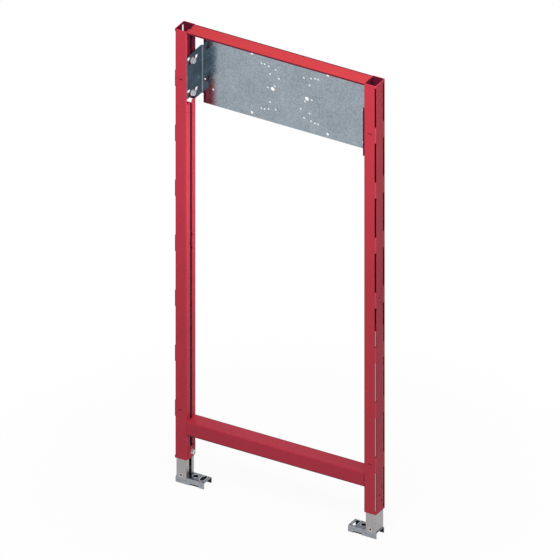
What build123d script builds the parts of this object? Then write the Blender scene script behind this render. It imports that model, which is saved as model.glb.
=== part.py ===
from build123d import *
import os

# Support frame for sanitary fittings, set in front of a wall and boarded over.
# Two slotted C posts and two cross rails carry a perforated fixing plate by its bent sides,
# and stand on telescopic legs with floor feet.
#
# Millimetres. While it is built, X runs from the middle of the frame to the right, Y from the
# front of the posts to the wall and Z up from the floor. The finished pieces are moved so that
# the origin lies under the left leg, on the bearing edge of its foot's front flange.

# Overall frame
FRAME_WIDTH = 500
POST_LENGTH = 1064
POST_ABOVE_FLOOR = 61

# Post profile
POST_WIDTH = 30
POST_DEPTH = 40
POST_WALL = 2
POST_SLIT = 9
BEND_RADIUS = 0.6

# Long slots along the outer side of a post
SLOT_LENGTH = 98
SLOT_BRIDGE = 38.5
SLOT_END_MARGIN = 2
CORNER_SLOT_FRONT = 3.7
CORNER_SLOT_SIDE = 4.4
WALL_SLOT_WIDTH = 8

# Fixing holes of a post
GROUP_HOLE = 5
GROUP_END_DISTANCE = 42
GROUP_PAIR_HALF_SPACING = 17
GROUP_PAIR_FROM_BACK = 15
GROUP_SINGLE_FROM_BACK = 23.4
MARK_SLIT_LENGTH = 11
MARK_SLIT_WIDTH = 2.6
MARK_SLIT_END_DISTANCE = 122
WALL_WINDOW_WIDTH = 17
WALL_WINDOW_HEIGHT = 12
WALL_WINDOW_BELOW_SIDE = 5
NUT_WINDOW_HEIGHT = 14

# Cross rails
TOP_RAIL_THICKNESS = 4
TOP_RAIL_BELOW_POST_TOP = 1.2
BOTTOM_RAIL_HEIGHT = 34
BOTTOM_RAIL_WALL = 2
BOTTOM_RAIL_SLIT = 14
BOTTOM_RAIL_ABOVE_POST_END = 62

# Telescopic legs
LEG_LENGTH = 500
LEG_GAP_SIDE = 0.3
LEG_GAP_FRONT = 0.6
LEG_WALL = 2
LEG_SLIT = 11

# Floor feet, each as deep as the leg that stands on its web
FOOT_LENGTH = 70
FOOT_INSET = 1
FOOT_HEIGHT = 15.5
FOOT_WALL = 2
FOOT_BEND_RADIUS = 3
FOOT_NOTCH_FROM_LEG = 9.5
FOOT_NOTCH_LENGTH = 21
FOOT_NOTCH_HEIGHT = 4.5
FLOOR_HOLE = 13
FLOOR_HOLE_FROM_LEG = 13.5
FLOOR_SLOT_LENGTH = 24
FLOOR_SLOT_WIDTH = 11
FLOOR_SLOT_FROM_END = 11
PAD_FROM_LEG = 3.5
PAD_LENGTH = 24
PAD_GAP = 0.2
PAD_HOLE_GAP = 1

# Hollow rivet of a leg
RIVET_DIAMETER = 8
RIVET_BORE = 5
RIVET_HEAD_DIAMETER = 11.5
RIVET_HEAD_HEIGHT = 1.2
RIVET_HEAD_ROUNDING = 0.7
RIVET_ABOVE_FOOT = 5

# Leg clamps
CLAMP_PLATE_HEIGHT = 28
CLAMP_PLATE_DEPTH = 26
CLAMP_PLATE_THICKNESS = 1.5
CLAMP_BOLT = 6
CLAMP_HEAD_ACROSS = 10
CLAMP_HEAD_HEIGHT = 4
CLAMP_WASHER_DIAMETER = 12
CLAMP_WASHER_THICKNESS = 1.2
CLAMP_NUT_HEIGHT = 22
CLAMP_NUT_DEPTH = 20
CLAMP_NUT_THICKNESS = 5
BOLT_END_PAST_NUT = 5

# Fixing plate and its sides, which are bent forward from the same sheet
PLATE_HEIGHT = 165
PLATE_THICKNESS = 2
PLATE_SETBACK = 62
PLATE_CENTRE_FROM_TOP = 121
PLATE_CORNER_RADIUS = 2
SIDE_HEIGHT = 119
SIDE_BEND_RADIUS = 3
SIDE_BEND_RELIEF = 1
SIDE_SLOT_LENGTH = 43
SIDE_SLOT_CLEARANCE = 0.5
SIDE_SLOT_FROM_FRONT = 3.5
SIDE_CORNER_CUT_DEPTH = 32
SLIDE_GAP = 0.2

# Bolts and channel nuts of the plate's sides
PLATE_BOLT = 8
PLATE_BOLT_FROM_BOTTOM = 21.5
PLATE_BOLT_FROM_TOP = 17.5
PLATE_BOLT_ACROSS = 13
PLATE_BOLT_HEAD_HEIGHT = 5.3
PLATE_WASHER_DIAMETER = 17
PLATE_WASHER_THICKNESS = 1.6
CHANNEL_NUT_DEPTH = 24
CHANNEL_NUT_HEIGHT = 18
CHANNEL_NUT_THICKNESS = 8
THREAD_GAP = 0.05
BOLT_HOLE_GAP = 0.2

# Holes of the fixing plate, from its middle
CORNER_HOLE = 7
CORNER_HOLE_X = 94
CORNER_HOLE_Z = 73
PIPE_HOLE = 10
PIPE_HOLE_X = 42.5
SCREW_HOLE = 5
# Each pair is repeated in all four quarters of the plate.
QUARTER_HOLES = [(70.5, 55.5), (62.5, 55.5), (52.5, 53), (35, 49.5), (49, 35)]
# Each pair is repeated on the opposite side of the middle.
OPPOSITE_HOLES = [(-27, 29.5), (-37.5, 8.5)]
AXIS_HOLE_X = 54.5
# Two holes near each end of the plate, from its edge and its middle line.
END_HOLE = 4.5
END_HOLES = [(4, -23.5), (24, -44)]

# Worked-out places
LEFT_SIDE = -FRAME_WIDTH / 2
POST_BOTTOM = POST_ABOVE_FLOOR
POST_TOP = POST_BOTTOM + POST_LENGTH
POST_MIDDLE_Y = POST_DEPTH / 2
POST_INNER_X = LEFT_SIDE + POST_WIDTH
LIP_BACK_X = POST_INNER_X - POST_WALL
LEG_WIDTH = POST_WIDTH - 2 * POST_WALL - 2 * LEG_GAP_SIDE
LEG_DEPTH = POST_DEPTH - 2 * POST_WALL - 2 * LEG_GAP_FRONT
LEG_OUTER_X = LEFT_SIDE + POST_WALL + LEG_GAP_SIDE
LEG_INNER_X = LEG_OUTER_X + LEG_WIDTH
LEG_FRONT_Y = POST_WALL + LEG_GAP_FRONT
LEG_MIDDLE_X = LEG_OUTER_X + LEG_WIDTH / 2
LEG_BACK_Y = LEG_FRONT_Y + LEG_DEPTH
FOOT_START_X = LEFT_SIDE + FOOT_INSET
FOOT_END_X = FOOT_START_X + FOOT_LENGTH
FOOT_ROUNDING = FOOT_BEND_RADIUS + FOOT_WALL
RIVET_PLACE = (LEG_MIDDLE_X, POST_MIDDLE_Y, FOOT_HEIGHT + RIVET_ABOVE_FOOT)
CLAMP_Z = POST_BOTTOM + CLAMP_PLATE_HEIGHT / 2
PLATE_Z = POST_TOP - PLATE_CENTRE_FROM_TOP
PLATE_BACK_Y = PLATE_SETBACK + PLATE_THICKNESS
SIDE_OUTER_X = POST_INNER_X + SLIDE_GAP
SIDE_INNER_X = SIDE_OUTER_X + PLATE_THICKNESS
SIDE_SLOT_WIDTH = PLATE_BOLT + 2 * SIDE_SLOT_CLEARANCE
SIDE_BOTTOM = PLATE_Z - SIDE_HEIGHT / 2
PLATE_LEFT_X = SIDE_INNER_X + SIDE_BEND_RADIUS + SIDE_BEND_RELIEF
PLATE_WIDTH = -2 * PLATE_LEFT_X
ORIGIN = (LEG_MIDDLE_X, LEG_FRONT_Y + FOOT_WALL / 2, 0)

# Directions of the round pieces
ALONG_X = Rot(0, 90, 0)
ALONG_Y = Rot(-90, 0, 0)


def block(low, high):
    """Box between two opposite corners."""
    size = [b - a for a, b in zip(low, high)]
    middle = [(a + b) / 2 for a, b in zip(low, high)]
    return Pos(*middle) * Box(*size)


def drill(direction, place, diameter, length):
    """Cylinder centred on a place, for a hole or a shank."""
    return Pos(*place) * direction * Cylinder(diameter / 2, length)


def c_section(width, depth, wall, slit):
    """C outline from a corner at 0, 0: web on the left, lips on the right with the slit between."""
    middle = Pos(width / 2, depth / 2)
    outer = middle * RectangleRounded(width, depth, BEND_RADIUS + wall)
    inner = middle * RectangleRounded(width - 2 * wall, depth - 2 * wall, BEND_RADIUS)
    mouth = Pos(width, depth / 2) * Rectangle(3 * wall, slit)
    return outer - inner - mouth


def slot_starts():
    """Heights at which the long slots of a post start, as many as its length takes."""
    pitch = SLOT_LENGTH + SLOT_BRIDGE
    room = POST_LENGTH - 2 * SLOT_END_MARGIN + SLOT_BRIDGE
    count = int(room // pitch)
    used = count * pitch - SLOT_BRIDGE
    first = POST_BOTTOM + (POST_LENGTH - used) / 2
    return [first + number * pitch for number in range(count)]


def post_long_slots():
    """Cutters of the two slot rows: one over the front outer corner, one in the side wall."""
    corner_x = LEFT_SIDE + CORNER_SLOT_FRONT
    back_y = POST_DEPTH - POST_WALL
    cutters = []
    for start in slot_starts():
        end = start + SLOT_LENGTH
        cutters.append(block((LEFT_SIDE - 1, -1, start), (corner_x, CORNER_SLOT_SIDE, end)))
        outline = SlotOverall(SLOT_LENGTH, WALL_SLOT_WIDTH)
        place = Pos(LEFT_SIDE, back_y - WALL_SLOT_WIDTH / 2, (start + end) / 2)
        cutters.append(place * ALONG_X * extrude(outline, POST_WALL, both=True))
    return cutters


def post_holes():
    """Cutters of the hole groups, the marking slits, the wall window and the nut window."""
    middle_x = LEFT_SIDE + POST_WIDTH / 2
    pair_y = POST_DEPTH - GROUP_PAIR_FROM_BACK
    single_y = POST_DEPTH - GROUP_SINGLE_FROM_BACK
    through = POST_WIDTH + 2 * POST_WALL
    cutters = []
    heights = [POST_BOTTOM + GROUP_END_DISTANCE,
               POST_BOTTOM + POST_LENGTH / 2,
               POST_TOP - GROUP_END_DISTANCE]
    for height in heights:
        spots = [(pair_y, height - GROUP_PAIR_HALF_SPACING),
                 (pair_y, height + GROUP_PAIR_HALF_SPACING),
                 (single_y, height)]
        for y, z in spots:
            cutters.append(drill(ALONG_X, (middle_x, y, z), GROUP_HOLE, through))
    mark = ALONG_Y * extrude(SlotOverall(MARK_SLIT_LENGTH, MARK_SLIT_WIDTH), POST_WALL, both=True)
    for height in (POST_BOTTOM + MARK_SLIT_END_DISTANCE, POST_TOP - MARK_SLIT_END_DISTANCE):
        cutters.append(Pos(middle_x, POST_WALL / 2, height) * mark)
    window = Box(WALL_WINDOW_WIDTH, 2 * POST_WALL, WALL_WINDOW_HEIGHT)
    window_z = SIDE_BOTTOM - WALL_WINDOW_BELOW_SIDE - WALL_WINDOW_HEIGHT / 2
    cutters.append(Pos(middle_x, POST_DEPTH - POST_WALL / 2, window_z) * window)
    cutters.append(block((LIP_BACK_X, -1, SIDE_BOTTOM),
                         (POST_INNER_X + 1, POST_DEPTH + 1, SIDE_BOTTOM + NUT_WINDOW_HEIGHT))
                   - block((LIP_BACK_X - 1, -2, SIDE_BOTTOM - 1),
                           (POST_INNER_X + 2, POST_WALL, SIDE_BOTTOM + NUT_WINDOW_HEIGHT + 1))
                   - block((LIP_BACK_X - 1, POST_DEPTH - POST_WALL, SIDE_BOTTOM - 1),
                           (POST_INNER_X + 2, POST_DEPTH + 2, SIDE_BOTTOM + NUT_WINDOW_HEIGHT + 1)))
    return cutters


def post():
    """Left post: C profile with its slit towards the middle of the frame."""
    profile = c_section(POST_WIDTH, POST_DEPTH, POST_WALL, POST_SLIT)
    tube = Pos(LEFT_SIDE, 0, POST_BOTTOM) * extrude(profile, POST_LENGTH)
    return tube - post_long_slots() - post_holes()


def top_rail():
    """Flat bar welded between the tops of the posts."""
    top = POST_TOP - TOP_RAIL_BELOW_POST_TOP
    return block((POST_INNER_X, 0, top - TOP_RAIL_THICKNESS), (-POST_INNER_X, POST_DEPTH, top))


def bottom_rail():
    """C profile welded between the posts, with its slit underneath."""
    length = -2 * POST_INNER_X
    profile = c_section(BOTTOM_RAIL_HEIGHT, POST_DEPTH, BOTTOM_RAIL_WALL, BOTTOM_RAIL_SLIT)
    rail = extrude(profile, length)
    top = POST_BOTTOM + BOTTOM_RAIL_ABOVE_POST_END + BOTTOM_RAIL_HEIGHT
    return Pos(POST_INNER_X, 0, top) * Rot(0, 90, 0) * rail


def rounded_top(low, high, radius):
    """Box between two corners with its long upper edges rounded."""
    box = block(low, high)
    edges = box.faces().sort_by(Axis.Z)[-1].edges().filter_by(Axis.X)
    return fillet(edges, radius)


def foot_outside():
    """Left foot as a full block, before it is hollowed."""
    return rounded_top((FOOT_START_X, LEG_FRONT_Y, 0), (FOOT_END_X, LEG_BACK_Y, FOOT_HEIGHT), FOOT_ROUNDING)


def leg():
    """Left telescopic leg: C profile cut to the rounded foot that it stands on, sliding in the post."""
    profile = c_section(LEG_WIDTH, LEG_DEPTH, LEG_WALL, LEG_SLIT)
    height = LEG_LENGTH + FOOT_ROUNDING
    tube = Pos(LEG_OUTER_X, LEG_FRONT_Y, FOOT_HEIGHT - FOOT_ROUNDING) * extrude(profile, height)
    rivet_hole = drill(ALONG_Y, RIVET_PLACE, RIVET_DIAMETER + 2 * BOLT_HOLE_GAP, POST_DEPTH)
    return tube - foot_outside() - rivet_hole


def floor_hole(diameter):
    """Cutter of a hole for a floor stud through the left foot or its pad."""
    place = (LEG_INNER_X + FLOOR_HOLE_FROM_LEG, POST_MIDDLE_Y, FOOT_HEIGHT / 2)
    return drill(Rot(0, 0, 0), place, diameter, 2 * FOOT_HEIGHT)


def foot():
    """Left foot: channel with its flanges down and a web that carries the leg."""
    inside = rounded_top((FOOT_START_X - 1, LEG_FRONT_Y + FOOT_WALL, -1),
                         (FOOT_END_X + 1, LEG_BACK_Y - FOOT_WALL, FOOT_HEIGHT - FOOT_WALL), FOOT_BEND_RADIUS)
    notch_x = LEG_INNER_X + FOOT_NOTCH_FROM_LEG
    notch = block((notch_x, LEG_FRONT_Y - 1, -1),
                  (notch_x + FOOT_NOTCH_LENGTH, LEG_BACK_Y + 1, FOOT_NOTCH_HEIGHT))
    slot = extrude(SlotOverall(FLOOR_SLOT_LENGTH, FLOOR_SLOT_WIDTH, rotation=90), 2 * FOOT_WALL, both=True)
    slot_hole = Pos(FOOT_END_X - FLOOR_SLOT_FROM_END, POST_MIDDLE_Y, FOOT_HEIGHT) * slot
    return foot_outside() - [inside, notch, floor_hole(FLOOR_HOLE), slot_hole]


def foot_pad():
    """Rubber pad that fills the left foot under its web, round the floor hole."""
    start_x = LEG_INNER_X + PAD_FROM_LEG
    inset = FOOT_WALL + PAD_GAP
    pad = rounded_top((start_x, LEG_FRONT_Y + inset, 0),
                      (start_x + PAD_LENGTH, LEG_BACK_Y - inset, FOOT_HEIGHT - FOOT_WALL), FOOT_BEND_RADIUS)
    return pad - floor_hole(FLOOR_HOLE + 2 * PAD_HOLE_GAP)


def leg_rivet():
    """Hollow rivet through the left leg, with a rolled head on both faces."""
    middle_x, middle_y, height = RIVET_PLACE
    shank = drill(ALONG_Y, RIVET_PLACE, RIVET_DIAMETER, LEG_DEPTH)
    head = Cylinder(RIVET_HEAD_DIAMETER / 2, RIVET_HEAD_HEIGHT)
    head = fillet(head.edges().group_by(Axis.Z)[-1], RIVET_HEAD_ROUNDING)
    back_head = Pos(middle_x, LEG_BACK_Y + RIVET_HEAD_HEIGHT / 2, height) * ALONG_Y * head
    front_head = mirror(back_head, about=Plane.XZ.offset(-middle_y))
    return shank + back_head + front_head - drill(ALONG_Y, RIVET_PLACE, RIVET_BORE, 2 * LEG_DEPTH)


def hex_bolt(seat, end_x, size, across, head_height, washer_diameter, washer_thickness):
    """Bolt along X with a washer on its seat, a hexagon head inwards and its shank to end_x."""
    seat_x, y, z = seat
    shank = Pos((seat_x + end_x) / 2, y, z) * ALONG_X * Cylinder(size / 2, seat_x - end_x)
    washer_x = seat_x + washer_thickness / 2
    washer = Pos(washer_x, y, z) * ALONG_X * Cylinder(washer_diameter / 2, washer_thickness)
    head = extrude(RegularPolygon(across / 2, 6, major_radius=False), head_height)
    head = Pos(seat_x + washer_thickness, y, z) * ALONG_X * head
    return shank + washer + head


def clamp_plate():
    """Plate over the slit at the foot of the left post, under the clamp bolt's washer."""
    half_depth = CLAMP_PLATE_DEPTH / 2
    plate = block((POST_INNER_X, POST_MIDDLE_Y - half_depth, POST_BOTTOM),
                  (POST_INNER_X + CLAMP_PLATE_THICKNESS, POST_MIDDLE_Y + half_depth,
                   POST_BOTTOM + CLAMP_PLATE_HEIGHT))
    hole = CLAMP_BOLT + 2 * BOLT_HOLE_GAP
    return plate - drill(ALONG_X, (POST_INNER_X, POST_MIDDLE_Y, CLAMP_Z), hole, 4 * CLAMP_PLATE_THICKNESS)


def clamp_nut_x():
    """Outer and inner X of the clamp nut, which bears on the lips of the leg from within."""
    inner = LEG_INNER_X - LEG_WALL - LEG_GAP_SIDE
    return inner - CLAMP_NUT_THICKNESS, inner


def clamp_bolt():
    """Bolt that clamps the left leg in its post."""
    seat = (POST_INNER_X + CLAMP_PLATE_THICKNESS, POST_MIDDLE_Y, CLAMP_Z)
    end_x = clamp_nut_x()[0] - BOLT_END_PAST_NUT
    return hex_bolt(seat, end_x, CLAMP_BOLT, CLAMP_HEAD_ACROSS, CLAMP_HEAD_HEIGHT,
                    CLAMP_WASHER_DIAMETER, CLAMP_WASHER_THICKNESS)


def clamp_nut():
    """Nut plate of the clamp bolt, inside the left leg."""
    outer, inner = clamp_nut_x()
    body = block((outer, POST_MIDDLE_Y - CLAMP_NUT_DEPTH / 2, CLAMP_Z - CLAMP_NUT_HEIGHT / 2),
                 (inner, POST_MIDDLE_Y + CLAMP_NUT_DEPTH / 2, CLAMP_Z + CLAMP_NUT_HEIGHT / 2))
    thread = CLAMP_BOLT + 2 * THREAD_GAP
    return body - drill(ALONG_X, (inner, POST_MIDDLE_Y, CLAMP_Z), thread, 4 * CLAMP_NUT_THICKNESS)


def plate_bolt_heights():
    """Heights of the lower and the upper bolt of a side of the plate."""
    return SIDE_BOTTOM + PLATE_BOLT_FROM_BOTTOM, SIDE_BOTTOM + SIDE_HEIGHT - PLATE_BOLT_FROM_TOP


def plate_bolt(z):
    """Bolt of the plate's left side at a height, with its washer on the sheet."""
    seat = (SIDE_INNER_X + SLIDE_GAP, POST_MIDDLE_Y, z)
    end_x = LIP_BACK_X - CHANNEL_NUT_THICKNESS - BOLT_END_PAST_NUT
    return hex_bolt(seat, end_x, PLATE_BOLT, PLATE_BOLT_ACROSS, PLATE_BOLT_HEAD_HEIGHT,
                    PLATE_WASHER_DIAMETER, PLATE_WASHER_THICKNESS)


def channel_nut(z):
    """Block nut behind the lips of the left post at a height."""
    half_depth = CHANNEL_NUT_DEPTH / 2
    half_height = CHANNEL_NUT_HEIGHT / 2
    body = block((LIP_BACK_X - CHANNEL_NUT_THICKNESS, POST_MIDDLE_Y - half_depth, z - half_height),
                 (LIP_BACK_X, POST_MIDDLE_Y + half_depth, z + half_height))
    thread = PLATE_BOLT + 2 * THREAD_GAP
    return body - drill(ALONG_X, (LIP_BACK_X, POST_MIDDLE_Y, z), thread, 4 * CHANNEL_NUT_THICKNESS)


def plate_holes():
    """Places and diameters of the plate's holes, from its middle."""
    holes = []
    for side in (-1, 1):
        holes.append((side * PIPE_HOLE_X, 0, PIPE_HOLE))
        holes.append((side * AXIS_HOLE_X, 0, SCREW_HOLE))
        holes += [(side * x, side * z, SCREW_HOLE) for x, z in OPPOSITE_HOLES]
        holes += [(side * (PLATE_WIDTH / 2 - edge), z, END_HOLE) for edge, z in END_HOLES]
        for level in (-1, 1):
            holes.append((side * CORNER_HOLE_X, level * CORNER_HOLE_Z, CORNER_HOLE))
            holes += [(side * x, level * z, SCREW_HOLE) for x, z in QUARTER_HOLES]
    return holes


def plate_side():
    """Left side of the plate: bent forward along the post, with two slots and a cut corner."""
    outline = Polyline((SIDE_OUTER_X, 0), (SIDE_OUTER_X, PLATE_BACK_Y), (PLATE_LEFT_X, PLATE_BACK_Y))
    corner = outline.vertices().sort_by_distance((SIDE_OUTER_X, PLATE_BACK_Y))[0]
    path = fillet(corner, SIDE_BEND_RADIUS + PLATE_THICKNESS)
    section = offset(path, PLATE_THICKNESS, side=Side.RIGHT)
    angle = Pos(0, 0, SIDE_BOTTOM) * extrude(make_face(section), SIDE_HEIGHT)
    corner_cut = block((SIDE_OUTER_X - 1, -1, SIDE_BOTTOM - 1),
                       (SIDE_INNER_X + 1, SIDE_CORNER_CUT_DEPTH, SIDE_BOTTOM + NUT_WINDOW_HEIGHT))
    slot_y = SIDE_SLOT_FROM_FRONT + SIDE_SLOT_LENGTH / 2
    slot = extrude(SlotOverall(SIDE_SLOT_LENGTH, SIDE_SLOT_WIDTH, rotation=90),
                   2 * PLATE_THICKNESS, both=True)
    slots = [Pos(SIDE_INNER_X, slot_y, z) * ALONG_X * slot for z in plate_bolt_heights()]
    return angle - corner_cut - slots


def mounting_plate():
    """Perforated plate that the fittings are screwed to, with its two bent sides."""
    outline = RectangleRounded(PLATE_WIDTH, PLATE_HEIGHT, PLATE_CORNER_RADIUS)
    for x, z, diameter in plate_holes():
        outline -= Pos(x, z) * Circle(diameter / 2)
    sheet = Pos(0, PLATE_BACK_Y, PLATE_Z) * Rot(90, 0, 0) * extrude(outline, PLATE_THICKNESS)
    side = plate_side()
    return sheet + side + mirror(side, about=Plane.YZ)


def left_pieces():
    """Pieces of the left side of the frame by name."""
    low, high = plate_bolt_heights()
    return {
        "post": post(),
        "leg": leg(),
        "foot": foot(),
        "foot_pad": foot_pad(),
        "leg_rivet": leg_rivet(),
        "clamp_plate": clamp_plate(),
        "clamp_bolt": clamp_bolt(),
        "clamp_nut": clamp_nut(),
        "lower_plate_bolt": plate_bolt(low),
        "upper_plate_bolt": plate_bolt(high),
        "lower_channel_nut": channel_nut(low),
        "upper_channel_nut": channel_nut(high),
    }


def all_pieces():
    """Every piece of the frame by node name."""
    pieces = {"top_rail": top_rail(), "bottom_rail": bottom_rail(), "mounting_plate": mounting_plate()}
    for name, piece in left_pieces().items():
        pieces["left_" + name] = piece
        pieces["right_" + name] = mirror(piece, about=Plane.YZ)
    return pieces


def main():
    """Write one file per piece, moved so that the origin lies under the left leg."""
    os.makedirs("parts", exist_ok=True)
    to_origin = Pos(*[-value for value in ORIGIN])
    for name, piece in all_pieces().items():
        export_step(to_origin * piece, os.path.join("parts", name + ".step"))


main()
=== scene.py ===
"""Dressed scene of a wall frame for sanitary fittings.

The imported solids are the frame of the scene. This file gives each of them its finish, puts real
bolts and rivets in place of plain ones, adds the weld beads, clips, rims, tabs, tongues and small
sheets that the solids lack, and sets up a pale studio.
"""
import logging
import math
from collections.abc import Mapping, Sequence
from dataclasses import dataclass, replace
from enum import Enum
from typing import Any, Union

import bmesh
import bpy
from mathutils import Matrix, Vector


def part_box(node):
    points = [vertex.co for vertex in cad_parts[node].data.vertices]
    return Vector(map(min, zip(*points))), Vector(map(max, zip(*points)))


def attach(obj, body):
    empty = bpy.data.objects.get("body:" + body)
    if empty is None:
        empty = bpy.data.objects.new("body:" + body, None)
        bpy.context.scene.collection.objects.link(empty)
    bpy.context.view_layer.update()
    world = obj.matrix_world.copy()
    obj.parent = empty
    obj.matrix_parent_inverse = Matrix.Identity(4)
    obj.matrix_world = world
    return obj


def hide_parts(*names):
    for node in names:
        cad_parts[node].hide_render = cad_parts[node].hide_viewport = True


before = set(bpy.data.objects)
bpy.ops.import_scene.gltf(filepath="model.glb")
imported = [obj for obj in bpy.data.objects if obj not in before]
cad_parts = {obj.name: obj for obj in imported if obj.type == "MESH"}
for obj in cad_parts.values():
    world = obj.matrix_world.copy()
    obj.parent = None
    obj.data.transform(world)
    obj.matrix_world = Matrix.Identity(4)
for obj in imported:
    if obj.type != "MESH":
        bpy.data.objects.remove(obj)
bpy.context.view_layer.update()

LOG = logging.getLogger("support_frame")
MM = 0.001
Colour = tuple[float, float, float]
Profile = Sequence[tuple[float, float]]
Place = Sequence[float]

WHITE: Colour = (1.0, 1.0, 1.0)
WARM: Colour = (1.0, 0.97, 0.9)
VIEW_MIDDLE = (235.3 * MM, 16.6 * MM, 563.2 * MM)

# Places and walls of the posts and the plate, in the frame of the solids
POSTS = [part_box("left_post"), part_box("right_post")]
AXES_X = tuple((low.x + high.x) / 2 for low, high in POSTS)
AXIS_Y = (POSTS[0][0].y + POSTS[0][1].y) / 2
MIDDLE_X = sum(AXES_X) / 2
LIPS_FROM_AXIS = 8 * MM
POST_WALL = 2 * MM
PLATE_SHEET = 2 * MM

# Fineness and edges of the meshes, and the depth of a thread as a share of its pitch
SHANK_FACETS = 24
HEAD_FACETS = 48
RIVET_FACETS = 40
RIM_FACETS = 30
BEVEL_SEGMENTS = 2
MERGE_DISTANCE = 0.002 * MM
CUT_TOLERANCE = 0.001 * MM
SHARP_ANGLE = math.radians(28)
EDGE_BEVEL = 0.3 * MM
THREAD_DEPTH = 0.6


class Side(Enum):
    """The two sides of the frame, with the direction that points to its middle."""

    LEFT = ("left", 1.0)
    RIGHT = ("right", -1.0)

    def node(self, piece: str) -> str:
        """Name of this side's solid."""
        return f"{self.value[0]}_{piece}"

    @property
    def inward(self) -> float:
        """1 where the middle of the frame lies towards +X, otherwise -1."""
        return self.value[1]

    @property
    def foot_body(self) -> str:
        """Name of the body that this side's foot belongs to."""
        return self.node("foot")

    def inner_x(self, low: Vector, high: Vector) -> float:
        """Where a box ends towards the middle of the frame."""
        return high.x if self is Side.LEFT else low.x

    def outer_x(self, low: Vector, high: Vector) -> float:
        """Where a box ends away from the middle of the frame."""
        return low.x if self is Side.LEFT else high.x


class Slot(Enum):
    """The record's material slots."""

    RED = "red_coat"
    SHEET = "zinc_sheet"
    TUBE = "zinc_tube"
    BOLT = "zinc_bolt"
    PAD = "rubber_pad"


class Sock:
    """A shader socket that can be used in Python expressions."""

    def __init__(self, kit: "NodeKit", socket: bpy.types.NodeSocket) -> None:
        self.kit = kit
        self.socket = socket

    def _maths(self, operation: str, first: "Value", second: "Value") -> "Sock":
        """Add a Math node."""
        return self.kit.node("ShaderNodeMath", {"operation": operation}, {0: first, 1: second})

    def __add__(self, other: "Value") -> "Sock":
        """Sum of two values."""
        return self._maths("ADD", self, other)

    def __radd__(self, other: "Value") -> "Sock":
        """Sum of two values."""
        return self._maths("ADD", other, self)

    def __sub__(self, other: "Value") -> "Sock":
        """Difference of two values."""
        return self._maths("SUBTRACT", self, other)

    def __rsub__(self, other: "Value") -> "Sock":
        """Difference of two values."""
        return self._maths("SUBTRACT", other, self)

    def __mul__(self, other: "Value") -> "Sock":
        """Product of two values."""
        return self._maths("MULTIPLY", self, other)

    def __rmul__(self, other: "Value") -> "Sock":
        """Product of two values."""
        return self._maths("MULTIPLY", other, self)

    def above(self, other: "Value") -> "Sock":
        """The larger of two values."""
        return self._maths("MAXIMUM", self, other)

    def below(self, limit: "Value") -> "Sock":
        """1 where the value is under a limit, otherwise 0."""
        return self._maths("LESS_THAN", self, limit)

    def size(self) -> "Sock":
        """The value without its sign."""
        return self._maths("ABSOLUTE", self, 0.0)


Value = Union[Sock, float, Sequence[float]]
Inputs = dict[int | str, Value]


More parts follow.
